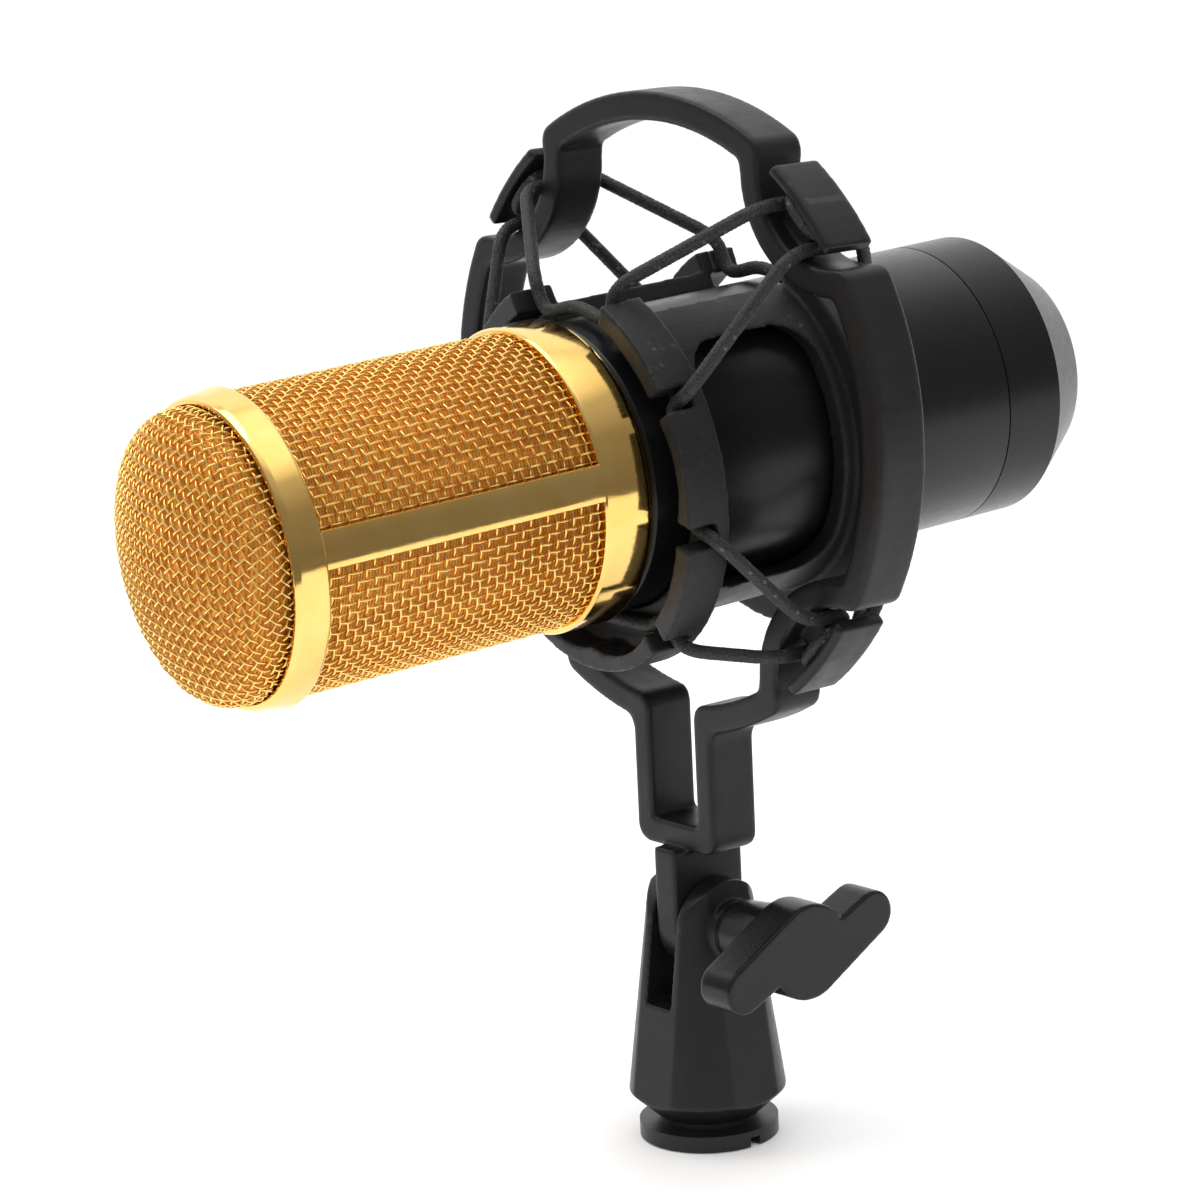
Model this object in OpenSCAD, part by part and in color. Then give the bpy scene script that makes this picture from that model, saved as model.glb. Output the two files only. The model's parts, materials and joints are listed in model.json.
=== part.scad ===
// Condenser microphone in an elastic shock mount on a swivel stand adapter.
// Origin: centre of the stand adapter's bottom face. +Z is up, the capsule head
// points along -Y and the clamp knob is on the +X side.

/* [Microphone] */
// Outer diameter of the body tube
body_d = 46; // [40:0.5:54]
// Wall of the body tube and of the tail ring
body_wall = 2; // [1.5:0.25:3]
// Length of the woven side grille between the two gold rings
grille_len = 48; // [40:1:60]
// Length of the gold ring beside the dome
top_ring_len = 5.2; // [4:0.2:8]
// Length of the gold ring at the body
base_ring_len = 9.6; // [7:0.2:12]
// Height of the dome in front of the top ring
dome_h = 10.8; // [9:0.2:14]
// Radius of the dome's rounded shoulder
dome_shoulder = 5; // [3:0.5:6]
// Width of the flat gold straps along the grille
strap_w = 5.8; // [4:0.2:8]
// Rise of the dome's flat crown above its shoulder
crown_lift = 4; // [2:0.2:5]
// Turn of the straps from the side of the microphone
strap_angle = 7; // [-15:1:15]
// Length of the body tube behind the base ring
tube_len = 69.8; // [60:0.2:75]
// Length of the straight part of the tail ring
tail_straight = 10.3; // [8:0.1:14]
// Length of the tapered part of the tail ring
tail_taper = 9.5; // [7:0.5:12]
// Diameter of the tail's flat end
tail_end_d = 32.8; // [30:0.2:36]
// Diameter of the capsule housing
capsule_d = 26; // [16:1:30]

/* [Hang in the elastics] */
// Sideways place of the microphone's axis at rest
hang_x = 1; // [-2:0.5:2]
// Sag of the microphone below the frame's centre
hang_drop = 4.8; // [0:0.2:6]
// Yaw of the microphone in the frame
hang_yaw = -5.8; // [-7:0.2:7]
// Nose-down pitch of the microphone in the frame
hang_pitch = 3.8; // [0:0.2:5]

/* [Shock mount] */
// Height of the frame's centre above the adapter's bottom
frame_z = 119.5; // [112:0.5:126]
// Outer radius of the frame's four arcs
rim_r = 51; // [49:0.5:54]
// Wall of the frame
rim_wall = 4.6; // [3.5:0.1:5]
// Depth of the frame along the microphone
frame_depth = 9.4; // [8:0.2:11]
// Radius of the scooped corners that carry the hooks
scoop_r = 14; // [13:0.5:15]
// Inner radius of the cage's castellated end rings
ring_in = 27.3; // [27:0.1:28]
// Outer radius of the cage's castellated end rings
ring_out = 31; // [30.6:0.2:32.2]
// Offset of the castellated rings below the body's axis
ring_drop = 1.4; // [0:0.2:2]
// Angle between neighbouring notches of the rings
notch_pitch = 40.5; // [38:0.5:43]
// Angle of the cage's opening along its underside
split_angle = 46; // [30:1:60]
// Length of one castellated ring
ring_len = 7.5; // [6.5:0.5:8]
// Distance from the cage's middle to the ends of its rings
cage_half = 21.5; // [21:0.5:24]
// Diameter of the elastic cord
cord_d = 2.2; // [1.8:0.1:2.3]

/* [Swivel] */
// Height of the tilt hinge above the adapter's bottom
hinge_z = 35.8; // [34:0.2:38]
// Largest radius of the swivel base
base_r = 12.9; // [12:0.1:14]
// Gap between the adapter's flange and the swivel base
base_gap = 1.1; // [0.5:0.1:4]
// Half width of the slot in the fork
slot_half = 3; // [2.7:0.05:3.2]
// Radius of the fork's round top
cheek_r = 8; // [7.6:0.1:9]
// Radius of the tongue around the hinge
tongue_r = 7.3; // [7:0.1:8]
// Distance from the middle to the knob's outer face
knob_face = 26.6; // [24:0.2:30]
// Thickness of the knob's wings
wing_t = 7; // [5:0.5:9]
// Distance from the knob's axis to the centre of a wing's tip
wing_reach = 14.2; // [12:0.1:17]
// Turn of the wings around the hinge
wing_angle = 13; // [0:1:45]
// Radius of the adapter's flange
flange_r = 11.4; // [10:0.1:13]
// Thickness of the adapter's flange
flange_t = 2.6; // [2:0.1:3.5]

/* [Hidden] */
$fn = 96;
eps = 0.01;
body_r = body_d / 2;
tube_in = body_r - body_wall;
// stations along the microphone, measured from the middle of the cage
tube_y0 = -22;
base_ring_y0 = tube_y0 - base_ring_len;
grille_y0 = base_ring_y0 - grille_len;
top_ring_y0 = grille_y0 - top_ring_len;
seam_y = tube_y0 + tube_len;
taper_y = seam_y + tail_straight;
end_y = taper_y + tail_taper;
seam_gap = 0.15;
// grille
mesh_r = body_r + 0.35;
mesh_t = 0.8;
liner_gap = 0.15;
liner_t = 0.5;
dome_r = body_r - 0.5;
ring_r0 = body_r + 0.8;
ring_r1 = body_r + 1.7;
base_ring_r = body_r + 1.3;
// inner chassis
deck_t = 3;
deck_y = -28;
rail_w = 4;
rail_t = 3;
rail_x = 16.5;
rail_end = 50.5;
board_w = 28;
board_t = 1.6;
board_y0 = -18;
board_y1 = 41;
capsule_t = 10;
capsule_y = -57;
membrane_t = 0.4;
post_r = 4;
saddle_screw_x = 5.6;
saddle_t = 3;
cap_r = 4;
cap_h = 9;
board_top = rail_w / 2 + board_t;
lead_r = 0.6;
lead_x = 6;
lead_z = board_top + lead_r;
// connector
insert_r = 9.6;
insert_y0 = 50.6;
insert_y1 = 55.6;
insert_screw_r = 1;
insert_screw_y = 2.5;
pin_r = 1.2;
pin_ring = 3.7;
pin_end = 65.5;
thread_play = 0.15;
// suspension
cage_in = body_r + 0.3;
sleeve_r = 26.5;
web_t = 1.6;
notch_w = 3.6;
notch_depth = 5.1;
relief_r = 14.9;
relief_c = 13.6;
relief_depth = notch_depth + 0.4;
window_half_h = 19.4;
window_half_l = 11.5;
window_corner = 6;
split_reach = -2 * ring_out;
split_x = 2 * ring_out * tan(split_angle / 2);
hooks = 4;
scoop_c = 39.8;
rim_in = rim_r - rim_wall;
rim_round_out = 3;
rim_round_in = 1.5;
cap_plate_r = 50.3;
cap_plate_t = 2;
cap_plate_half = 8.4;
stem_half_t = 3;
stem_half_y = 1.5;
neck_half = 9.5;
neck_slot = 5.4;
neck_bottom = frame_z - 48.8;
neck_floor = 4.4;
neck_round = 3;
cord_in = ring_in - cord_d / 2 - 0.2;
cord_y = cage_half - notch_depth + cord_d / 2 + 0.2;
cord_mouth = 32.4;
cord_side = 4.6;
cord_back = 3.1;
cord_front = 6.4;
cord_layer_front = 44.6;
cord_layer_rear = 46.9;
cord_sides = 8;
cord_relief = 0.8;
cord_turn = 3.5;
cord_span = 10.5;
// swivel
thread_r = 7.9;
thread_top = 15;
stand_bore_r = 4;
base_z0 = flange_t + base_gap;
base_z1 = base_z0 + 4;
base_top = hinge_z + cheek_r;
base_taper = 0.132;
face_half = 8.1;
face_taper = 0.14;
slot_z = 23.3;
bolt_r = 2.9;
bolt_play = 0.1;
boss_r = 4.9;
boss_x = 9;
washer_t = 1;
washer_r = 4.9;
nut_across = 10;
nut_t = 4;
knob_x0 = boss_x + washer_t;
wing_x0 = knob_face - wing_t;
hub_r = 7.8;
wing_r = 3.8;
stem_r0 = 5.4;
stem_r1 = 6.4;
wing_valley = [5.4, 2.1];

// ---- placing ----

// Places microphone and cage parts where they hang in the elastics.
module hung() {
    translate([hang_x, 0, frame_z - hang_drop]) rotate([hang_pitch, 0, hang_yaw]) children();
}

// Turns a revolved shape, drawn along +Z, to lie along +Y.
module along_y() {
    rotate([-90, 0, 0]) children();
}

// Turns a shape drawn along +Z to lie along +X.
module along_x() {
    rotate([0, 90, 0]) children();
}

// Revolves a profile of (radius, place along the microphone) points.
module turned(points) {
    along_y() rotate_extrude() polygon(points);
}

// Tube between two stations along the microphone.
module ring(r_in, r_out, y0, y1) {
    turned([[r_in, y0], [r_out, y0], [r_out, y1], [r_in, y1]]);
}

// Rectangle with round corners, centred.
module soft_rect(w, h, r) {
    union() {
        square([w - 2 * r, h], center = true);
        square([w, h - 2 * r], center = true);
        for (sx = [-1, 1], sy = [-1, 1])
            translate([sx * (w / 2 - r), sy * (h / 2 - r)]) circle(r);
    }
}

// ---- microphone head ----

// Half profile of the dome: a shallow crown that runs into a round shoulder.
module dome_profile(r, rise, shoulder, lift) {
    across = r - shoulder;
    crown_r = (across * across + lift * lift) / (2 * lift) + shoulder;
    centre = rise - crown_r;
    seat = rise - shoulder - lift;
    slope = 1.2 * crown_r / (crown_r - shoulder);
    intersection() {
        square([r, rise]);
        union() {
            square([r, seat]);
            translate([across, seat]) circle(shoulder);
            intersection() {
                translate([0, centre]) circle(crown_r);
                polygon([[0, centre], [across * slope, centre + (seat - centre) * slope], [0, 2 * rise]]);
            }
        }
    }
}

// Thin domed cap with its open side at the given station, bulging along -Y.
module dome_shell(r, rise, shoulder, t, y0) {
    translate([0, y0, 0]) rotate([90, 0, 0]) rotate_extrude() difference() {
        dome_profile(r, rise, shoulder, crown_lift);
        dome_profile(r - t, rise - t, shoulder - t, crown_lift);
    }
}

module dome_mesh() {
    color("goldenrod") hung() dome_shell(dome_r, dome_h + 1, dome_shoulder, mesh_t, top_ring_y0 + 1);
}

module grille_mesh() {
    color("goldenrod") hung() ring(mesh_r - mesh_t, mesh_r, grille_y0 + eps, base_ring_y0 - eps);
}

// Finer mesh behind the side grille.
module grille_liner() {
    r = mesh_r - mesh_t - liner_gap;
    color("darkorange") hung() ring(r - liner_t, r, top_ring_y0 + 2.2, base_ring_y0 + 2);
}

// Finer mesh behind the dome.
module dome_liner() {
    r = dome_r - mesh_t - liner_gap;
    rise = dome_h + 1 - mesh_t - liner_gap;
    color("darkorange") hung()
        dome_shell(r, rise, dome_shoulder - mesh_t - liner_gap, liner_t, top_ring_y0 + 1);
}

// Ring beside the dome, with a curled front lip that grips both meshes.
module top_ring() {
    lip = 1.2;
    color("gold") hung() turned([
        [dome_r + 0.1, top_ring_y0], [ring_r0 - lip / 2, top_ring_y0], [ring_r0, top_ring_y0 + lip],
        [ring_r1, grille_y0 - lip / 2], [ring_r1 - lip / 2, grille_y0], [mesh_r - mesh_t, grille_y0],
        [mesh_r - mesh_t, top_ring_y0 + 2.2], [dome_r + 0.1, top_ring_y0 + 2.2]
    ]);
}

module base_ring() {
    edge = 1.5;
    color("gold") hung() turned([
        [mesh_r - mesh_t, base_ring_y0], [base_ring_r - edge / 3, base_ring_y0],
        [base_ring_r, base_ring_y0 + edge / 3], [base_ring_r, tube_y0 - edge],
        [base_ring_r - edge, tube_y0], [tube_in, tube_y0], [tube_in, base_ring_y0 + 3],
        [mesh_r - mesh_t, base_ring_y0 + 3]
    ]);
}

module side_straps() {
    color("gold") hung() for (turn = [0, 180]) rotate([0, -strap_angle + turn, 0])
        intersection() {
            ring(mesh_r + 0.05, mesh_r + 0.75, grille_y0 + eps, base_ring_y0 - eps);
            translate([mesh_r, (grille_y0 + base_ring_y0) / 2, 0])
                cube([4, grille_len + 2, strap_w], center = true);
        }
}

// ---- capsule and chassis ----

module capsule() {
    color("dimgray") hung() translate([0, capsule_y, 0]) difference() {
        cylinder(h = capsule_t, d = capsule_d, center = true);
        for (side = [-1, 1]) translate([0, 0, side * capsule_t / 2])
            cylinder(h = 2, d = capsule_d - 4, center = true);
    }
}

module capsule_membranes() {
    color("khaki") hung() for (side = [-1, 1])
        translate([0, capsule_y, side * (capsule_t / 2 - 1 + membrane_t / 2)])
            cylinder(h = membrane_t, d = capsule_d - 4.4, center = true);
}

// Clip that holds the capsule by its rim, on a foot that sits on the post.
module capsule_saddle() {
    foot_y = capsule_y + capsule_d / 2;
    color("white") hung() difference() {
        union() {
            translate([0, capsule_y, 0]) cylinder(h = 6, d = capsule_d + 2 * saddle_t, center = true);
            translate([0, foot_y + 3, 0]) cube([14, 4, 10], center = true);
        }
        translate([0, capsule_y, 0]) cylinder(h = 20, d = capsule_d + 0.1, center = true);
        translate([0, capsule_y - capsule_d / 2 - 5, 0]) cube([60, capsule_d + 4, 30], center = true);
        saddle_screw_holes(1.1);
    }
}

module saddle_screw_holes(r) {
    for (side = [-1, 1]) translate([side * saddle_screw_x, capsule_y + capsule_d / 2 - 1, 0])
        along_y() cylinder(h = 9.5, r = r);
}

module capsule_post() {
    y0 = capsule_y + capsule_d / 2 + 5;
    color("white") hung() difference() {
        union() {
            translate([0, y0, 0]) along_y() cylinder(h = deck_y - y0, r = post_r);
            translate([0, y0 + 1.5, 0]) cube([14, 3, 10], center = true);
        }
        saddle_screw_holes(1);
    }
}

module saddle_screws() {
    y0 = capsule_y + capsule_d / 2 - 1;
    color("silver") hung() for (side = [-1, 1]) translate([side * saddle_screw_x, y0 + 2.05, 0]) union() {
        along_y() cylinder(h = 7.2, r = 0.95);
        translate([0, 6.97, 0]) along_y() cylinder(h = 1.2, r = 1.5);
    }
}

module chassis_deck() {
    color("silver") hung() difference() {
        ring(0, tube_in - 0.1, deck_y, deck_y + deck_t);
        for (side = [-1, 1]) translate([side * lead_x, deck_y - 1, lead_z])
            along_y() cylinder(h = deck_t + 2, r = 1.2);
    }
}

module chassis_rails() {
    color("silver") hung() for (side = [-1, 1]) difference() {
        translate([side * rail_x, (deck_y + deck_t + rail_end) / 2, 0])
            cube([rail_t, rail_end - deck_y - deck_t, rail_w], center = true);
        for (y = [board_y0 + 6, board_y1 - 6]) translate([side * rail_x, y, -rail_w])
            cylinder(h = 2 * rail_w, r = 0.8);
    }
}

module circuit_board() {
    z = rail_w / 2 + board_t / 2;
    color("darkgreen") hung() difference() {
        translate([0, (board_y0 + board_y1) / 2, z])
            cube([board_w + 8, board_y1 - board_y0, board_t], center = true);
        for (side = [-1, 1], y = [board_y0 + 6, board_y1 - 6])
            translate([side * rail_x, y, 0]) cylinder(h = 10, r = 0.9);
    }
}

module board_screws() {
    color("silver") hung() for (side = [-1, 1], y = [board_y0 + 6, board_y1 - 6])
        translate([side * rail_x, y, 0]) union() {
            translate([0, 0, -1.5]) cylinder(h = board_top + 1.5, r = 0.75);
            translate([0, 0, board_top]) cylinder(h = 1, r = 1.5);
        }
}

module board_capacitors() {
    color("midnightblue") hung() for (x = [-7, 7], y = [8, 22])
        translate([x, y, board_top]) cylinder(h = cap_h, r = cap_r);
}

module board_transistors() {
    color("black") hung() for (x = [-8, 0, 8]) translate([x, -10, board_top]) intersection() {
        cylinder(h = 5, r = 2.4);
        translate([-3, -1.2, 0]) cube([6, 4, 5]);
    }
}

module board_resistors() {
    color("tan") hung() for (x = [-10, -5, 5, 10]) translate([x, -1, board_top + 1])
        along_y() union() {
            translate([0, 0, -2.6]) cylinder(h = 5.2, r = 0.8);
            translate([0, 0, -2.6]) cylinder(h = 1.2, r = 1);
            translate([0, 0, 1.4]) cylinder(h = 1.2, r = 1);
        }
}

// Straight insulated leads from the capsule's foot through the deck to the board.
module capsule_wires() {
    y0 = capsule_y + capsule_d / 2 + 8;
    color("firebrick") hung() for (side = [-1, 1]) translate([side * lead_x, y0, lead_z])
        along_y() cylinder(h = board_y0 + 4 - y0, r = lead_r);
}

module output_wires() {
    color("royalblue") hung() for (x = [-3, 0, 3]) translate([x, board_y1 - 4, lead_z])
        along_y() cylinder(h = insert_y0 - board_y1 + 4, r = lead_r);
}

// ---- body and connector ----

module body_tube() {
    color("black") hung() ring(tube_in, body_r, tube_y0, seam_y - seam_gap);
}

// Screwed tail: a short straight ring, a taper and the socket of the connector.
// Places the small screw that holds the connector, on the underside of the tail.
module at_insert_screw(r) {
    translate([0, insert_y0 + insert_screw_y, 0]) rotate([180, 0, 0]) translate([0, 0, r])
        children();
}

module tail_ring() {
    spigot = 6;
    color("black") hung() difference() {
        turned([
            [tube_in - thread_play, seam_y - spigot], [tube_in - thread_play, seam_y],
            [body_r, seam_y], [body_r, taper_y], [tail_end_d / 2, end_y], [insert_r, end_y],
            [insert_r, insert_y0 + 0.05], [tube_in - 2.5, insert_y0], [tube_in - 2.5, seam_y - spigot]
        ]);
        at_insert_screw(insert_r - 1) cylinder(h = body_r, r = insert_screw_r + 0.05);
    }
}

module xlr_insert() {
    color("dimgray") hung() difference() {
        ring(0, insert_r - 0.02, insert_y0 + 0.1, insert_y1);
        xlr_pattern(insert_y0 - 1, insert_y1 + 1, pin_r);
        at_insert_screw(insert_r - 1.5) cylinder(h = 5, r = insert_screw_r + 0.05);
    }
}

// The connector's three contacts, as cylinders between two stations.
module xlr_pattern(y0, y1, r) {
    for (turn = [30, 150, 270]) rotate([0, -turn, 0]) translate([pin_ring, y0, 0])
        along_y() cylinder(h = y1 - y0, r = r);
}

module xlr_pins() {
    color("silver") hung() xlr_pattern(insert_y0 + 0.15, pin_end, pin_r - 0.01);
}

module insert_screw() {
    color("silver") hung() at_insert_screw(insert_r - 1.4)
        cylinder(h = body_r - insert_r - 0.1, r = insert_screw_r);
}

// ---- shock mount ----

// Angle of notch k around the rings, counted from the top.
function notch_angle(k) = 90 + (k + 0.5) * notch_pitch;

// Split sleeve that hugs the body, with a castellated ring at each end and a large
// window on each side.
module inner_cage() {
    color("darkslategray") hung() difference() {
        union() {
            ring(cage_in, sleeve_r, -cage_half + ring_len - web_t, cage_half - ring_len + web_t);
            for (s = [-1, 1]) translate([0, 0, -ring_drop]) {
                y0 = s * cage_half;
                y1 = s * (cage_half - ring_len);
                y2 = s * (cage_half - ring_len + web_t);
                ring(ring_in, ring_out, min(y0, y1), max(y0, y1));
                ring(sleeve_r - ring_drop - 1, ring_out, min(y2, y1), max(y2, y1));
            }
        }
        ring(0, cage_in, -2 * cage_half, 2 * cage_half);
        for (s = [-1, 1], k = [-4:3])
            translate([0, 0, -ring_drop]) rotate([0, -notch_angle(k), 0])
                translate([ring_out, s * (cage_half - notch_depth / 2 + eps), 0])
                    cube([2 * (ring_out - sleeve_r), notch_depth, notch_w], center = true);
        for (s = [-1, 1], k = [-2:2])
            translate([0, s * (cage_half + eps), -ring_drop]) rotate([0, -90 - 2 * k * notch_pitch, 0])
                translate([relief_c, s > 0 ? -relief_depth : 0, 0]) along_y()
                    cylinder(h = relief_depth, r = relief_r);
        translate([0, -2 * cage_half, -ring_drop]) along_y() linear_extrude(4 * cage_half)
            polygon([[0, 0], [-split_x, split_reach], [split_x, split_reach]]);
        translate([-2 * ring_out, 0, 0]) along_x() linear_extrude(4 * ring_out)
            soft_rect(2 * window_half_h, 2 * window_half_l, window_corner);
    }
}

// Disc with the four scoops cut out of it and its corners rounded.
module scooped_disc(r, n, c) {
    d = scoop_c * sqrt(2);
    px = (pow(r - c, 2) - pow(n + c, 2) + d * d) / (2 * d);
    py = sqrt(pow(r - c, 2) - px * px);
    kx = (r * r - n * n + d * d) / (2 * d);
    ky = sqrt(r * r - kx * kx);
    out = 1 + 0.4 * c / (r - c);
    difference() {
        circle(r, $fn = 180);
        for (k = [0:3]) rotate(45 + 90 * k) {
            translate([d, 0]) circle(n);
            for (s = [-1, 1]) difference() {
                polygon([
                    [px, s * py],
                    [px, s * py] * (r / (r - c)) * out,
                    [kx, s * ky] * 1.05,
                    [px + (d - px) * c / (n + c) * 1.4, s * (py - py * c / (n + c) * 1.4)]
                ]);
                translate([px, s * py]) circle(c);
            }
        }
    }
}

// Front view of the frame around its centre: a scooped ring with a U-shaped neck.
module frame_outline() {
    flare = 2.5;
    out_x = neck_half + flare;
    out_z = sqrt(pow(rim_r + flare, 2) - out_x * out_x);
    in_x = neck_slot + flare;
    in_z = sqrt(pow(rim_in + flare, 2) - in_x * in_x);
    slot_h = neck_bottom - neck_floor - rim_in + 3;
    difference() {
        union() {
            scooped_disc(rim_r, scoop_r, rim_round_out);
            translate([0, -(neck_bottom + rim_in) / 2])
                soft_rect(2 * neck_half, neck_bottom - rim_in, neck_round);
            for (s = [-1, 1]) difference() {
                polygon([
                    [s * (neck_half - 1), -rim_in - 1], [s * (neck_half - 1), -out_z],
                    [s * out_x, -out_z], [s * out_x, -out_z] * (rim_r - 0.5) / (rim_r + flare)
                ]);
                translate([s * out_x, -out_z]) circle(flare);
            }
        }
        scooped_disc(rim_in, scoop_r + rim_wall - 0.2, rim_round_in);
        translate([0, -(neck_bottom - neck_floor) + slot_h / 2]) soft_rect(2 * neck_slot, slot_h, 1);
        for (s = [-1, 1]) difference() {
            polygon([
                [s * (neck_slot - 1), -rim_in + 2], [s * (neck_slot - 1), -in_z],
                [s * in_x, -in_z], [s * in_x, -in_z] * (rim_in - 1) / (rim_in + flare)
            ]);
            translate([s * in_x, -in_z]) circle(flare);
        }
    }
}

// Front view of one hook's short stem on the scooped corner.
module stem_outline() {
    foot = 41;
    translate([foot, -stem_half_t]) square([cap_plate_r - 1 - foot, 2 * stem_half_t]);
}

// Front view of one hook's curved cap plate.
module cap_outline() {
    intersection() {
        difference() {
            circle(cap_plate_r, $fn = 180);
            circle(cap_plate_r - cap_plate_t, $fn = 180);
        }
        translate([cap_plate_r - 5, -cap_plate_half]) square([10, 2 * cap_plate_half]);
    }
}

module upright(depth) {
    rotate([90, 0, 0]) linear_extrude(depth, center = true) children();
}

module outer_frame() {
    color("black") difference() {
        union() {
            translate([0, 0, frame_z]) {
                upright(frame_depth) frame_outline();
                for (k = [0:hooks - 1]) rotate([0, -45 - 90 * k, 0]) {
                    upright(2 * stem_half_y) stem_outline();
                    upright(frame_depth) cap_outline();
                }
            }
            tongue();
        }
        translate([-20, 0, hinge_z]) along_x() cylinder(h = 40, r = bolt_r + bolt_play);
    }
}

// Plate under the neck that sits in the fork and carries the hinge bore.
module tongue() {
    top = frame_z - neck_bottom;
    half = slot_half - 0.4;
    translate([-half, 0, hinge_z]) along_x() cylinder(h = 2 * half, r = tongue_r);
    translate([-half, -tongue_r, hinge_z]) cube([2 * half, 2 * tongue_r, top - hinge_z + 0.5]);
}

// Point on the castellated rings, from its radius, angle and place along the microphone.
function on_cage(r, a, y) = to_world([r * cos(a), y, r * sin(a) - ring_drop]);
function to_world(p) =
    let (
        y1 = p[1] * cos(hang_pitch) - p[2] * sin(hang_pitch),
        z1 = p[1] * sin(hang_pitch) + p[2] * cos(hang_pitch)
    )
    [
        hang_x + p[0] * cos(hang_yaw) - y1 * sin(hang_yaw),
        p[0] * sin(hang_yaw) + y1 * cos(hang_yaw),
        frame_z - hang_drop + z1
    ];

// Point at a hook, from its reach, its place across the hook and its depth.
function at_hook(r, a, across, y) = [
    r * cos(a) - across * sin(a), y, frame_z + r * sin(a) + across * cos(a)
];

// Route of one elastic: over each hook's stem, through the notches on both
// sides of it and behind the castellation to the next hook.
function elastic_stops(s, layer) = [
    for (k = [0:hooks - 1]) let (
        a = 45 + 90 * k,
        y = s * cord_y,
        i = k < 3 ? 2 * k - 2 : -4,
        n0 = notch_angle(i),
        n1 = notch_angle(i + 1)
    ) each [
        k < 3
            ? on_cage(cord_in + cord_relief, n0 - notch_pitch / 2, y)
            : on_cage(cord_in, n0 - cord_span, y),
        on_cage(cord_in, n0 - cord_turn, y),
        on_cage(ring_in + 0.5, n0, y),
        on_cage(cord_mouth, n0, y),
        at_hook(layer, a, -cord_side, s * cord_front),
        at_hook(layer, a, -cord_side, -s * cord_back),
        at_hook(layer, a, cord_side, -s * cord_back),
        at_hook(layer, a, cord_side, s * cord_front),
        on_cage(cord_mouth, n1, y),
        on_cage(ring_in + 0.5, n1, y),
        on_cage(cord_in, n1 + cord_turn, y),
        if (k == 2) on_cage(cord_in, n1 + cord_span, y)
    ]
];

// Cuts each corner of a closed route once.
function eased(p) = [
    for (i = [0:len(p) - 1])
        let (q = p[(i + 1) % len(p)])
            each [0.75 * p[i] + 0.25 * q, 0.25 * p[i] + 0.75 * q]
];
function unit(v) = v / norm(v);
function turn_about(v, axis, a) =
    v * cos(a) + cross(axis, v) * sin(a) + axis * (axis * v) * (1 - cos(a));

// Rings of a closed tube: the side direction is carried along the route, and
// what it has turned by at the end is spread over all rings.
function closed_tube(p, r) =
    let (
        n = len(p),
        t = [for (i = [0:n]) unit(p[(i + 1) % n] - p[(i + n - 1) % n])],
        first = unit(cross(t[0], [0.3, 1, 0.2])),
        side = [
            for (i = 0, v = first; i <= n; i = i + 1, v = i > n ? v : unit(v - (v * t[i % n]) * t[i % n]))
                v
        ],
        last = unit(side[n] - (side[n] * t[0]) * t[0]),
        twist = atan2(cross(first, last) * t[0], first * last)
    )
    [
        for (i = [0:n - 1], j = [0:cord_sides - 1])
            let (v = turn_about(side[i], t[i], 360 * j / cord_sides - twist * i / n)) p[i] + r * v
    ];

module elastic(s, layer) {
    route = eased(elastic_stops(s, layer));
    n = len(route);
    m = cord_sides;
    polyhedron(
        points = closed_tube(route, cord_d / 2),
        faces = [
            for (i = [0:n - 1], j = [0:m - 1])
                [i * m + j, i * m + (j + 1) % m, ((i + 1) % n) * m + (j + 1) % m, ((i + 1) % n) * m + j]
        ]
    );
}

module front_elastic() {
    color("black") elastic(-1, cord_layer_front);
}

module rear_elastic() {
    color("black") elastic(1, cord_layer_rear);
}

// ---- swivel ----

// Tapered block with a forked, round-topped head and a threaded socket below.
module swivel_base() {
    slot_top = base_top + 1;
    color("black") difference() {
        union() {
            rotate_extrude() polygon([
                [0, base_z0], [thread_r + 0.6, base_z0], [base_r, base_z1],
                [base_r - base_taper * (base_top - base_z1), base_top], [0, base_top]
            ]);
            translate([0, 0, hinge_z]) along_x() cylinder(h = boss_x, r = boss_r);
        }
        // the four sides are drafted flats that leave round corners
        for (k = [0:3]) rotate(90 * k) difference() {
            translate([face_half + face_taper * hinge_z, 0, 0]) rotate([0, -atan(face_taper), 0])
                translate([0, -30, -10]) cube([20, 60, 80]);
            if (k == 0) translate([0, 0, hinge_z]) along_x() cylinder(h = boss_x, r = boss_r);
        }
        // round top of the cheeks
        difference() {
            translate([-20, -20, hinge_z]) cube([40, 40, 20]);
            translate([-21, 0, hinge_z]) along_x() cylinder(h = 42, r = cheek_r);
        }
        translate([-slot_half, -20, slot_z]) cube([2 * slot_half, 40, slot_top - slot_z]);
        translate([-20, 0, hinge_z]) along_x() cylinder(h = 40, r = bolt_r + bolt_play);
        translate([-20, 0, hinge_z])
            along_x()
                cylinder(h = 20 - face_half + nut_t - 0.6, d = nut_across, $fn = 6);
        translate([0, 0, -1]) cylinder(h = thread_top + 2, r = thread_r + thread_play);
    }
}

module hex_nut() {
    x0 = -face_half - 0.6;
    color("silver") translate([x0, 0, hinge_z]) along_x() difference() {
        cylinder(h = nut_t, d = nut_across - 0.1, $fn = 6);
        translate([0, 0, -1]) cylinder(h = nut_t + 2, r = bolt_r + 0.05);
    }
}

module clamp_bolt() {
    color("silver") translate([-face_half, 0, hinge_z]) along_x()
        cylinder(h = face_half + knob_face - 3, r = bolt_r);
}

module clamp_washer() {
    color("silver") translate([boss_x + 0.02, 0, hinge_z]) along_x() difference() {
        cylinder(h = washer_t - 0.04, r = washer_r);
        translate([0, 0, -1]) cylinder(h = washer_t + 2, r = bolt_r + 0.1);
    }
}

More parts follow.
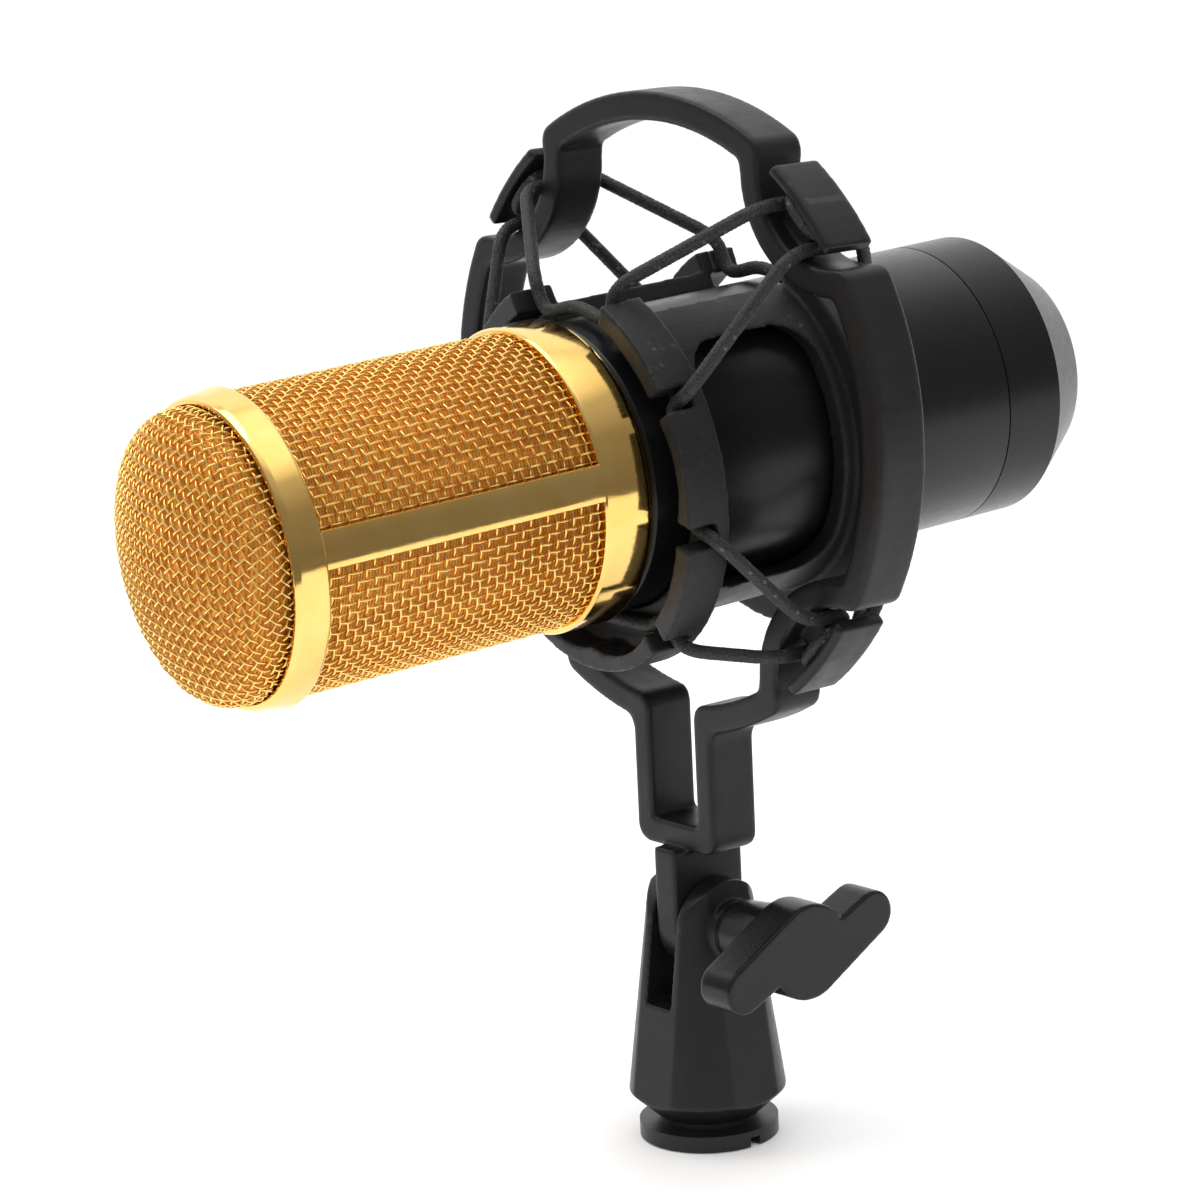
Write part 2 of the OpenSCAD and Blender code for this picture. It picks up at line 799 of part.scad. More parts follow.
// Two-winged knob on a short tapered stem.
module wing_knob() {
    color("black") translate([0, 0, hinge_z]) difference() {
        union() {
            translate([knob_x0, 0, 0])
                along_x()
                    cylinder(h = wing_x0 - knob_x0 + 1, r1 = stem_r0, r2 = stem_r1);
            translate([wing_x0, 0, 0]) rotate([90, 0, 90]) linear_extrude(wing_t) wing_outline();
        }
        translate([knob_x0 - 1, 0, 0]) along_x() cylinder(h = knob_face - 3 - knob_x0 + 1, r = bolt_r);
    }
}

// Front view of the wings: a round hub and two wings, each of them tangent to
// the hub on one side and set back on the other.
module wing_outline() {
    lean = asin((hub_r - wing_r) / wing_reach);
    low = [sin(lean), -cos(lean)];
    rotate(wing_angle) union() {
        circle(hub_r);
        for (turn = [0, 180]) rotate(turn) {
            translate([wing_reach, 0]) circle(wing_r);
            polygon([
                [0, 0], hub_r * low, [wing_reach, 0] + wing_r * low,
                [wing_reach, 0], [wing_reach - 0.7, wing_r - 0.06], wing_valley
            ]);
        }
    }
}

module stand_adapter() {
    slot_w = 2;
    slot_deep = 1.5;
    color("black") difference() {
        union() {
            cylinder(h = flange_t, r = flange_r);
            cylinder(h = thread_top, r = thread_r);
        }
        translate([0, 0, -1]) cylinder(h = thread_top + 2, r = stand_bore_r);
        cube([3 * flange_r, slot_w, 2 * slot_deep], center = true);
    }
}

dome_mesh();
dome_liner();
grille_mesh();
grille_liner();
top_ring();
base_ring();
side_straps();
capsule();
capsule_membranes();
capsule_saddle();
capsule_post();
saddle_screws();
chassis_deck();
chassis_rails();
circuit_board();
board_capacitors();
board_transistors();
board_resistors();
board_screws();
capsule_wires();
output_wires();
body_tube();
tail_ring();
xlr_insert();
xlr_pins();
insert_screw();
inner_cage();
outer_frame();
front_elastic();
rear_elastic();
swivel_base();
hex_nut();
clamp_bolt();
clamp_washer();
wing_knob();
stand_adapter();
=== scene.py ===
"""Looks of the condenser microphone in its spider shock mount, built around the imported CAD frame.

Metres, row frame: +Z up, the head points along -Y, the clamp knob is on +X.
"""

import json
import math

import bmesh
import bpy
from mathutils import Matrix, Vector

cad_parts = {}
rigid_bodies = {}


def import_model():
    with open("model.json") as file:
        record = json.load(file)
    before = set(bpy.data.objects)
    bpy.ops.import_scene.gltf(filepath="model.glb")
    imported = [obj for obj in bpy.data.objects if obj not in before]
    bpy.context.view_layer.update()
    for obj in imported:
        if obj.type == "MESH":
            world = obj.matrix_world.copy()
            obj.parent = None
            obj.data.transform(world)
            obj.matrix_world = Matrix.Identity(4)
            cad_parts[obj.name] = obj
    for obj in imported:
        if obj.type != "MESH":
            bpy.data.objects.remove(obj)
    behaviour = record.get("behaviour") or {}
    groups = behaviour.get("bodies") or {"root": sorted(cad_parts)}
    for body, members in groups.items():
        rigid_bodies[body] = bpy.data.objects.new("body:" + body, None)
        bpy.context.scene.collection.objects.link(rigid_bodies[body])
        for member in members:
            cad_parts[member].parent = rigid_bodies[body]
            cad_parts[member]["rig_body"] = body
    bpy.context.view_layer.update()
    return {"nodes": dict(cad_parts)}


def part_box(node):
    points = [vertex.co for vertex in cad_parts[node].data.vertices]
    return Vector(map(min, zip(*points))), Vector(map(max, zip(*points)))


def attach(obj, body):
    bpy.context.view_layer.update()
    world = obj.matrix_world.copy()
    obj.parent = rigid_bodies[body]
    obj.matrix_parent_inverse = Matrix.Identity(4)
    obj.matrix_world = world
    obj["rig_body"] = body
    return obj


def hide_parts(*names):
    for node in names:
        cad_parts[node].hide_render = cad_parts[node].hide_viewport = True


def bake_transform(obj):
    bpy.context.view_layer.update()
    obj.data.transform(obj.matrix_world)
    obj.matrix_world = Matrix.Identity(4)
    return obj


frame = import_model()
MM = 0.001

# ---- places shared with the CAD source, in millimetres and degrees ----
# how the microphone hangs in the frame: its offset and drop from the centre, its yaw and its pitch
HANG_X, HANG_DROP, HANG_YAW, HANG_PITCH = 1.0, 4.8, -5.8, 3.8
# height of the frame's centre, whose distance to the frame's top is that to its side
FRAME_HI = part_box("outer_frame")[1] / MM
FRAME_Z = round(FRAME_HI.z - FRAME_HI.x, 2)


def hang(unit):
    """The microphone's own axes to the row frame; unit is the size of a millimetre in the result."""
    return (
        Matrix.Translation((HANG_X * unit, 0, (FRAME_Z - HANG_DROP) * unit))
        @ Matrix.Rotation(math.radians(HANG_YAW), 4, "Z")
        @ Matrix.Rotation(math.radians(HANG_PITCH), 4, "X")
    )


HUNG, HUNG_MM = hang(MM), hang(1.0)


def stations(node):
    """Where a CAD node starts and ends along the microphone's axis, and its outer radius."""
    source = frame["nodes"][node]
    back = HUNG.inverted() @ source.matrix_world
    spots = [(back @ v.co) / MM for v in source.data.vertices]
    along = [p.y for p in spots]
    return [round(v, 2) for v in (min(along), max(along), max(math.hypot(p.x, p.z) for p in spots))]


TUBE_Y0, TUBE_END, BODY_R = stations("body_tube")
SEAM_Y = TUBE_END + 0.15
TUBE_WALL = 2.0
BASE_RING_Y0, _, BASE_RING_R = stations("base_ring")
TOP_RING_Y0, GRILLE_Y0, TOP_RING_R = stations("top_ring")
GRILLE_LEN = BASE_RING_Y0 - GRILLE_Y0
CAGE_HALF = stations("inner_cage")[1]
# the straps' turn from level, and the radius of their crown
STRAP_ANGLE, STRAP_HALF, STRAP_R = 7.0, 2.9, 24.09
# the cage's castellated rings: inner radius, offset below the axis, notches
RING_IN, RING_DROP, NOTCH_PITCH, NOTCH_DEPTH = 27.3, 1.4, 40.5, 5.1

# ---- camera ----
CAMERA_TURN, CAMERA_RISE, CAMERA_ROLL = 50.8, 11.92, -2.69
CAMERA_AT = (0.4646, -0.3969, 0.2187)
CAMERA_LENS = 117.2


def make_camera():
    az, el, roll = (math.radians(v) for v in (CAMERA_TURN, CAMERA_RISE, CAMERA_ROLL))
    back = Vector((math.sin(az) * math.cos(el), -math.cos(az) * math.cos(el), math.sin(el)))
    right = Vector((math.cos(az), math.sin(az), 0))
    up = back.cross(right)
    image_right = right * math.cos(roll) + up * math.sin(roll)
    image_up = up * math.cos(roll) - right * math.sin(roll)
    data = bpy.data.cameras.new("camera")
    data.sensor_width = 36
    data.lens = CAMERA_LENS
    data.clip_start, data.clip_end = 0.01, 20
    cam = bpy.data.objects.new("camera", data)
    place = Matrix((image_right, image_up, back)).transposed().to_4x4()
    place.translation = CAMERA_AT
    cam.matrix_world = place
    bpy.context.scene.collection.objects.link(cam)
    bpy.context.scene.camera = cam


make_camera()


# ---- material building ----
class Nodes:
    """A small helper that adds nodes and wires to one material."""

    def __init__(self, name):
        self.material = bpy.data.materials.new(name)
        self.material.use_nodes = True
        self.tree = self.material.node_tree
        self.bsdf = self.tree.nodes["Principled BSDF"]
        self.where = self.tree.nodes.new("ShaderNodeTexCoord").outputs["Object"]

    def add(self, kind, inputs=None, **fields):
        """A new node with its fields set and its inputs fed."""
        node = self.tree.nodes.new(kind)
        for key, value in fields.items():
            setattr(node, key, value)
        for key, value in (inputs or {}).items():
            self.feed(node.inputs[key], value)
        return node

    def feed(self, socket, value):
        """Wires a socket into another, or sets its value."""
        if isinstance(value, bpy.types.NodeSocket):
            self.tree.links.new(value, socket)
        else:
            socket.default_value = value

    def noise(self, scale, detail=2.0, rough=0.5, stretch=None):
        """A cloudy pattern; a factor below 1 in stretch draws it out along that axis."""
        at = self.where
        if stretch:
            at = self.add("ShaderNodeMapping", {"Vector": at, "Scale": stretch}).outputs[0]
        return self.add("ShaderNodeTexNoise", {
            "Vector": at, "Scale": scale, "Detail": detail, "Roughness": rough,
        }).outputs["Fac"]

    def span(self, fac, lo, hi, to_lo, to_hi):
        """Maps lo to hi onto to_lo to to_hi and stops at the ends."""
        return self.add("ShaderNodeMapRange", {
            "Value": fac, "From Min": lo, "From Max": hi, "To Min": to_lo, "To Max": to_hi,
        }).outputs["Result"]

    def mix(self, fac, a, b):
        """Blends two colours."""
        node = self.add("ShaderNodeMix", data_type="RGBA")
        self.feed(node.inputs[0], fac)
        self.feed(node.inputs[6], a if isinstance(a, bpy.types.NodeSocket) else (*a, 1))
        self.feed(node.inputs[7], b if isinstance(b, bpy.types.NodeSocket) else (*b, 1))
        return node.outputs[2]

    def math(self, kind, a, b=0.0):
        node = self.add("ShaderNodeMath", operation=kind)
        self.feed(node.inputs[0], a)
        self.feed(node.inputs[1], b)
        return node.outputs[0]

    def edges(self, lo=0.57, hi=0.70):
        """1 along convex edges and 0 on flat faces."""
        return self.span(self.add("ShaderNodeNewGeometry").outputs["Pointiness"], lo, hi, 0.0, 1.0)

    def bump(self, height, distance, strength, before=None):
        """Raises the surface by height; before is a normal to build on."""
        node = self.add("ShaderNodeBump", {"Height": height, "Distance": distance, "Strength": strength})
        if before:
            self.tree.links.new(before, node.inputs["Normal"])
        return node.outputs["Normal"]

    def surface(self, **inputs):
        """Feeds the shader's sockets and returns the finished material."""
        names = {"color": "Base Color", "rough": "Roughness", "metal": "Metallic", "normal": "Normal",
                 "coat": "Coat Weight", "coat_rough": "Coat Roughness", "sheen": "Sheen Weight",
                 "specular": "Specular IOR Level"}
        for key, value in inputs.items():
            if key == "color" and not isinstance(value, bpy.types.NodeSocket):
                value = (*value, 1)
            self.feed(self.bsdf.inputs[names[key]], value)
        return self.material


# the share of the lighter colour on convex edges, partly wear and partly a painted highlight, at the two
# ends of a cloudy pattern
EDGE_WEAR_AND_HIGHLIGHT = (0.15, 0.10)


def moulded(name, base, light, rough, grain, glint_share):
    """Moulded black plastic: fine grain, lighter flecks as painted glints, convex edges lightened by
    wear and a painted highlight.
    """
    n = Nodes(name)
    cloud = n.noise(90, 3)
    # fine specks of the lighter colour: painted glints of the grained surface
    glint_fleck = n.span(n.noise(5200, 1.5, 0.6), 0.66, 0.78, 0.0, glint_share)
    dark = n.mix(n.span(cloud, 0.3, 0.7, 0, 1), base, [c * 1.35 for c in base])
    with_glint_flecks = n.mix(glint_fleck, dark, light)
    # convex edges take the lighter colour in patches: partly wear, partly a painted highlight for the
    # light on rounded edges
    worn_and_lit_edge = n.math("MULTIPLY", n.edges(), n.span(n.noise(400, 3), 0.4, 0.7, *EDGE_WEAR_AND_HIGHLIGHT))
    color = n.mix(worn_and_lit_edge, with_glint_flecks, light)
    patchy = n.span(n.noise(260, 4, 0.6), 0.3, 0.75, rough - 0.06, rough + 0.09)
    pits = n.bump(n.noise(3300, 2.5, 0.65), 0.00006, grain)
    waves = n.bump(n.noise(160, 2), 0.0003, grain * 0.35, before=pits)
    return n.surface(color=color, rough=patchy, normal=waves, specular=0.30)


def plated(name, base, painted_reflection_gold, rough, ripple):
    """Polished gold plate with faint lengthwise rubbing, its colour clouded towards a deeper gold as
    painted reflections.
    """
    n = Nodes(name)
    cloud = n.noise(150, 4, 0.6)
    # cloudy patches of deeper gold: painted reflections
    color = n.mix(n.span(cloud, 0.3, 0.75, 0, 1), base, painted_reflection_gold)
    rub = n.noise(1500, 3, 0.7, stretch=(1, 0.12, 1))
    polish = n.span(rub, 0.35, 0.75, rough * 0.7, rough * 1.5)
    shape = n.bump(n.noise(120, 2), 0.0003, ripple)
    fine = n.bump(rub, 0.00002, 0.25, before=shape)
    return n.surface(color=color, rough=polish, metal=1.0, normal=fine)


def wire_gold(name):
    """Gold wash on wire, paler gold in some patches and coppery in others, the coppery patches a painted
    reflection between the wires.
    """
    n = Nodes(name)
    # coppery patches stand in for the deeper colour of reflections between the wires: painted reflection
    color = n.mix(n.span(n.noise(900, 3), 0.35, 0.7, 0, 1), (1.0, 0.73, 0.24), (0.96, 0.53, 0.11))
    rough = n.span(n.noise(2500, 2), 0.3, 0.7, 0.16, 0.30)
    grain = n.bump(n.noise(5200, 2), 0.00003, 0.35)
    return n.surface(color=color, rough=rough, metal=1.0, normal=grain)


# the turn of the liner's pattern, in radians
LINER_TURN = (0.066, 0, 0.101)


def fine_liner(name):
    """Second, finer mesh: small crossing wires in orange gold, the openings between them painted dark as
    the shade seen through them.
    """
    n = Nodes(name)
    way = n.add("ShaderNodeMapping", {"Vector": n.where, "Rotation": LINER_TURN}).outputs[0]
    rows = n.add("ShaderNodeTexWave", {
        "Vector": way, "Scale": 620, "Distortion": 0.6, "Detail": 1.0, "Detail Scale": 2.0,
    }, bands_direction="Y").outputs["Fac"]
    split = n.add("ShaderNodeSeparateXYZ", {"Vector": way})
    turn = n.math("ARCTAN2", split.outputs["Z"], split.outputs["X"])
    cols = n.span(n.math("SINE", n.math("MULTIPLY", turn, 260.0)), -1, 1, 0, 1)
    cloth = n.math("MAXIMUM", rows, n.noise(3200, 2))
    weave = n.math("MULTIPLY", n.span(cloth, 0.25, 0.8, 0.0, 1.0), n.span(cols, 0.0, 0.5, 0.55, 1.0))
    # darker between the wires: painted shade in the mesh's openings
    color = n.mix(weave, (0.42, 0.12, 0.012), (0.98, 0.46, 0.07))
    relief = n.bump(weave, 0.0001, 0.8)
    return n.surface(color=color, rough=n.span(weave, 0, 1, 0.65, 0.42), metal=0.55, normal=relief)


def painted(name, base, rough, peel):
    """Smooth satin black coat on metal."""
    n = Nodes(name)
    color = n.mix(n.span(n.noise(60, 3), 0.3, 0.7, 0, 1), base, [c * 1.6 for c in base])
    streak = n.noise(700, 4, 0.6)
    gloss = n.span(streak, 0.3, 0.75, rough - 0.03, rough + 0.05)
    skin = n.bump(n.noise(1600), 0.00003, peel)
    return n.surface(color=color, rough=gloss, normal=skin, specular=0.28, coat=0.06, coat_rough=0.35)


def steel(name, base, rough):
    """Metal with fine streaks."""
    n = Nodes(name)
    turn = n.noise(1200, 3, 0.7, stretch=(0.15, 1, 1))
    color = n.mix(n.span(turn, 0.3, 0.7, 0, 1), base, [c * 0.8 for c in base])
    gloss, marks = n.span(turn, 0.3, 0.7, rough, rough + 0.15), n.bump(turn, 0.00002, 0.4)
    return n.surface(color=color, rough=gloss, metal=1.0, normal=marks)


def simple(name, base, other, rough, metal=0.0, scale=900):
    """Small inner parts: two-tone colour, uneven gloss and fine grain."""
    n = Nodes(name)
    spots = n.noise(scale, 3)
    color = n.mix(n.span(spots, 0.35, 0.7, 0, 1), base, other)
    gloss = n.span(n.noise(scale / 2, 3), 0.3, 0.7, rough - 0.05, rough + 0.1)
    grain = n.bump(n.noise(scale * 3), 0.00004, 0.3)
    return n.surface(color=color, rough=gloss, metal=metal, normal=grain)


def yarn(name):
    """Black thread, with a painted highlight where the braid's strands stand up."""
    n = Nodes(name)
    thread = n.noise(4200, 2, 0.6)
    color = n.mix(n.span(thread, 0.35, 0.75, 0, 1), (0.004, 0.004, 0.0045), (0.035, 0.034, 0.033))
    # lighter colour on the strands' crests: painted highlight
    color = n.mix(n.edges(0.50, 0.58), color, (0.075, 0.073, 0.07))
    gloss, fibre = n.span(thread, 0.3, 0.7, 0.40, 0.60), n.bump(n.noise(9000), 0.00005, 0.6)
    return n.surface(color=color, rough=gloss, specular=0.4, sheen=0.04, normal=fibre)


FRAME_BLACK = moulded("frame plastic", (0.006, 0.006, 0.0065), (0.12, 0.115, 0.11), 0.40, 0.35, 0.20)
CAGE_BLACK = moulded("cage plastic", (0.008, 0.008, 0.009), (0.20, 0.19, 0.18), 0.46, 0.55, 0.38)
KNOB_BLACK = moulded("knob plastic", (0.005, 0.005, 0.0055), (0.14, 0.135, 0.13), 0.27, 0.5, 0.12)
SWIVEL_BLACK = moulded("swivel plastic", (0.006, 0.006, 0.0065), (0.16, 0.155, 0.15), 0.36, 0.4, 0.16)
BODY_BLACK = painted("body coat", (0.003, 0.003, 0.0032), 0.30, 0.25)
ADAPTER_BLACK = painted("adapter coat", (0.006, 0.006, 0.0065), 0.34, 0.5)
GOLD = plated("gold plate", (0.99, 0.66, 0.23), (0.94, 0.57, 0.15), 0.10, 0.10)
WIRE = wire_gold("gold wire")
LINER = fine_liner("inner mesh")
YARN = yarn("braid")
STEEL = steel("zinc steel", (0.55, 0.55, 0.56), 0.28)
ZINC = simple("cast zinc", (0.5, 0.5, 0.51), (0.62, 0.62, 0.63), 0.42, metal=1.0)
CONTACT = steel("contact plate", (0.86, 0.78, 0.55), 0.2)
INSERT_BLACK = simple("insert plastic", (0.02, 0.02, 0.02), (0.035, 0.035, 0.036), 0.5)
BLACK_STEEL = steel("black steel", (0.03, 0.03, 0.031), 0.35)
WHITE = simple("white plastic", (0.72, 0.72, 0.69), (0.80, 0.80, 0.77), 0.42)
CAPSULE = simple("capsule coat", (0.25, 0.25, 0.26), (0.36, 0.36, 0.37), 0.4, metal=0.8)
FILM = simple("gold film", (0.80, 0.66, 0.30), (0.9, 0.76, 0.42), 0.16, metal=1.0, scale=200)
BOARD = simple("solder mask", (0.01, 0.10, 0.035), (0.015, 0.15, 0.05), 0.3, scale=500)
CAPACITOR = simple("capacitor sleeve", (0.015, 0.02, 0.08), (0.02, 0.03, 0.12), 0.3)
TRANSISTOR = simple("black part", (0.015, 0.015, 0.015), (0.03, 0.03, 0.03), 0.45)
RESISTOR = simple("resistor coat", (0.45, 0.33, 0.2), (0.6, 0.46, 0.3), 0.4)
RED_LEAD = simple("red lead", (0.4, 0.02, 0.015), (0.5, 0.04, 0.03), 0.35)
BLUE_LEAD = simple("blue lead", (0.02, 0.05, 0.3), (0.04, 0.09, 0.42), 0.35)


# ---- mesh building ----
def link(obj):
    """Adds an object to the scene."""
    bpy.context.scene.collection.objects.link(obj)
    return obj


def piece(name, body, material, mesh, slot, *replaced, smooth=None):
    """Makes a mesh a piece on one CAD body; edges past smooth degrees stay sharp."""
    obj = link(bpy.data.objects.new(name, mesh))
    mesh.materials.clear()
    mesh.materials.append(material)
    mesh.polygons.foreach_set("use_smooth", [True] * len(mesh.polygons))
    if smooth:
        mesh.set_sharp_from_angle(angle=math.radians(smooth))
    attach(obj, body)
    if replaced:
        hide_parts(*replaced)
    return obj


def mesh_from(name, verts, faces, place=None):
    """A mesh from points in millimetres, placed by a matrix in metres."""
    mesh = bpy.data.meshes.new(name)
    mesh.from_pydata([Vector(v) * MM for v in verts], [], faces)
    if place is not None:
        mesh.transform(place)
    return mesh


def fillet(points, sizes, steps):
    """Rounds the corners of a closed profile; sizes holds one radius for each corner."""
    out = []
    for i, (p, size) in enumerate(zip(points, sizes)):
        a, b = Vector(points[i - 1]), Vector(points[(i + 1) % len(points)])
        p = Vector(p)
        if not size:
            out.append(tuple(p))
            continue
        u, v = (a - p).normalized(), (b - p).normalized()
        half = math.acos(max(-1, min(1, u.dot(v)))) / 2
        longest = 0.49 * min((a - p).length, (b - p).length)
        reach = min(size / math.tan(half), longest)
        r = reach * math.tan(half)
        centre = p + (u + v).normalized() * (r / math.sin(half))
        start, end = p + u * reach, p + v * reach
        a0 = math.atan2(start.y - centre.y, start.x - centre.x)
        a1 = math.atan2(end.y - centre.y, end.x - centre.x)
        turn = (a1 - a0 + math.pi) % (2 * math.pi) - math.pi
        for k in range(steps + 1):
            t = a0 + turn * k / steps
            out.append((centre.x + r * math.cos(t), centre.y + r * math.sin(t)))
    return out


LATHE_STEPS = 192


def lathe(name, profile):
    """A closed (radius, station) profile revolved about the microphone's axis."""
    verts, faces = [], []
    n = len(profile)
    for k in range(LATHE_STEPS):
        t = 2 * math.pi * k / LATHE_STEPS
        verts += [(r * math.cos(t), y, r * math.sin(t)) for r, y in profile]
    for k in range(LATHE_STEPS):
        a, b = k * n, (k + 1) % LATHE_STEPS * n
        faces += [(a + i, b + i, b + (i + 1) % n, a + (i + 1) % n) for i in range(n)]
    mesh = mesh_from(name, verts, faces, HUNG)
    tidy_normals(mesh)
    return mesh


def tidy_normals(mesh):
    """Turns every face outwards."""
    bm = bmesh.new()
    bm.from_mesh(mesh)
    bmesh.ops.recalc_face_normals(bm, faces=bm.faces)
    bm.to_mesh(mesh)
    bm.free()


def tubes(name, lines, radius, sides=6, closed=False, place=None):
    """Round wires along many lines of (point, normal) pairs, in millimetres."""
    verts, faces = [], []
    turns = [2 * math.pi * k / sides for k in range(sides)]
    circle = [(math.cos(t), math.sin(t)) for t in turns]
    for line in lines:
        n, base = len(line), len(verts)
        for i, (p, up) in enumerate(line):
            q = line[(i + 1) % n][0] if closed or i < n - 1 else p
            o = line[i - 1][0] if closed or i else p
            ahead = (q - o).normalized()
            side = ahead.cross(up).normalized()
            top = side.cross(ahead)
            verts += [p + side * (radius * c) + top * (radius * s) for c, s in circle]
        for i in range(n if closed else n - 1):
            a, b = base + i * sides, base + (i + 1) % n * sides
            faces += [(a + k, a + (k + 1) % sides, b + (k + 1) % sides, b + k) for k in range(sides)]
        if not closed:
            faces.append(tuple(base + k for k in reversed(range(sides))))
            faces.append(tuple(base + (n - 1) * sides + k for k in range(sides)))
    return mesh_from(name, verts, faces, place)


def moulded_shape(node, material, slot, voxel, rounds):
    """A CAD node's own shape as one moulded skin, its edges rounded by smoothing."""
    source = frame["nodes"][node]
    obj = piece(node + "_shape", source["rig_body"], material, source.data.copy(), slot, node)
    skin = obj.modifiers.new("skin", "REMESH")
    skin.mode, skin.voxel_size, skin.use_smooth_shade = "VOXEL", voxel * MM, True
    ease = obj.modifiers.new("ease", "SMOOTH")
    ease.factor, ease.iterations = 0.5, rounds


def softened(node, material, slot, width, segments=2):
    """A CAD node's own shape with its edges rounded, as a new piece."""
    source = frame["nodes"][node]
    bm = bmesh.new()
    bm.from_mesh(source.data)
    bmesh.ops.remove_doubles(bm, verts=bm.verts, dist=0.00002)
    bmesh.ops.dissolve_limit(bm, angle_limit=math.radians(1.0), verts=bm.verts, edges=bm.edges)
    mesh = bpy.data.meshes.new(node + "_shape")
    bm.to_mesh(mesh)
    bm.free()
    obj = piece(node + "_shape", source["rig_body"], material, mesh, slot, node)
    if width:
        bevel = obj.modifiers.new("round", "BEVEL")
        bevel.width, bevel.segments = width * MM, segments
        bevel.limit_method, bevel.angle_limit = "ANGLE", math.radians(32)
        obj.modifiers.new("flat", "WEIGHTED_NORMAL").keep_sharp = True


# ---- woven gold head ----
# wires along the side and around it, and the steps from one crossing to the next
AROUND, ALONG, PER_CROSSING = 96, 32, 4
PITCH = GRILLE_LEN / ALONG
WIRE_R = 0.19
CRIMP = 0.20
# the dome weave's turn from level, and how far in from the body's radius it is
DOME_TURN, DOME_INSET = 38.0, 0.8
# the dome's rise from its seat, the radius of its shoulder and the rise of its crown
DOME_RISE, DOME_SHOULDER, DOME_CROWN = 11.55, 4.8, 4.0


def side_weave():
    """The two sets of wires of the side grille, each bending over and under the other."""
    r0 = BODY_R + 0.02
    lines = []
    for i in range(AROUND):
        t = 2 * math.pi * i / AROUND
        out = Vector((math.cos(t), 0, math.sin(t)))
        line = []
        for s in range(ALONG * PER_CROSSING + 1):
            y = GRILLE_Y0 + PITCH * s / PER_CROSSING
            r = r0 + CRIMP * math.cos(math.pi * (s / PER_CROSSING - 0.5 + i))
            line.append((out * r + Vector((0, y, 0)), out))
        lines.append(line)
    warp = tubes("side_warp", lines, WIRE_R, place=HUNG)
    rings = []
    for j in range(ALONG):
        y = GRILLE_Y0 + PITCH * (j + 0.5)
        ring = []
        for s in range(AROUND * PER_CROSSING):
            t = 2 * math.pi * s / (AROUND * PER_CROSSING)
            out = Vector((math.cos(t), 0, math.sin(t)))
            r = r0 - CRIMP * math.cos(math.pi * (s / PER_CROSSING + j))
            ring.append((out * r + Vector((0, y, 0)), out))
        rings.append(ring)
    weft = tubes("side_weft", rings, WIRE_R, closed=True, place=HUNG)
    return warp, weft


def dome_line(r, rise, shoulder, lift, step):
    """Even steps (radius, height, slope) down the dome: crown, round shoulder, straight seat."""
    across = r - shoulder
    crown = (across * across + lift * lift) / (2 * lift) + shoulder
    seat = rise - shoulder - lift
    edge = math.asin(across / (crown - shoulder))
    length = [crown * edge, shoulder * (math.pi / 2 - edge), seat]
    out, s = [], 0.0
    while s <= sum(length):
        if s < length[0]:
            a = s / crown
            out.append((crown * math.sin(a), rise - crown + crown * math.cos(a), a))
        elif s < length[0] + length[1]:
            a = edge + (s - length[0]) / shoulder
            out.append((across + shoulder * math.sin(a), seat + shoulder * math.cos(a), a))
        else:
            out.append((r, seat - (s - length[0] - length[1]), math.pi / 2))
        s += step
    return out


def dome_weave():
    """A flat square weave pressed over the dome, its wires turned off the level."""
    step = 0.15
    seat_y = TOP_RING_Y0 + 1.0
    line = dome_line(BODY_R - DOME_INSET, DOME_RISE, DOME_SHOULDER, DOME_CROWN, step)
    reach = (len(line) - 2) * step

    def on_dome(u, v, lift):
        """A point of the flat weave, pressed on the dome, and the way out of the surface."""
        s = math.hypot(u, v)
        k = s / step
        i = min(int(k), len(line) - 2)
        r, h, a = Vector(line[i]).lerp(Vector(line[i + 1]), k - i)
        c, d = (u / s, v / s) if s > 1e-6 else (1.0, 0.0)
        out = Vector((c * math.sin(a), -math.cos(a), d * math.sin(a)))
        return Vector((c * r, seat_y - h, d * r)) + out * lift, out

    lines = []
    count = int(reach / PITCH)
    for sign, turn, shift in ((1, DOME_TURN, 0), (-1, DOME_TURN + 90, 1)):
        way = math.radians(turn)
        along = Vector((math.cos(way), math.sin(way)))
        aside = Vector((-along.y, along.x))
        for i in range(-count, count + 1):
            off = (i + 0.5) * PITCH
            if abs(off) >= reach - 0.4:
                continue
            half = math.sqrt(reach * reach - off * off)
            first = math.ceil((-half / PITCH - 0.5) * PER_CROSSING)
            last = math.floor((half / PITCH - 0.5) * PER_CROSSING)
            strand = []
            for s in range(first, last + 1):
                crossing = s / PER_CROSSING
                p = along * ((crossing + 0.5) * PITCH) + aside * off
                wave = CRIMP * sign * math.cos(math.pi * (crossing + i * sign + shift))
                strand.append(on_dome(p.x, p.y, wave))
            if len(strand) > 3:
                lines.append(strand)
    return tubes("dome_wires", lines, WIRE_R, place=HUNG)


warp, weft = side_weave()
piece("side_grille_warp", "microphone", WIRE, warp, "gold_mesh", "grille_mesh")
piece("side_grille_weft", "microphone", WIRE, weft, "gold_mesh")
piece("dome_grille", "microphone", WIRE, dome_weave(), "gold_mesh", "dome_mesh")

# ---- gold rings and straps ----
# edges past this many degrees stay sharp
SHARP = 35
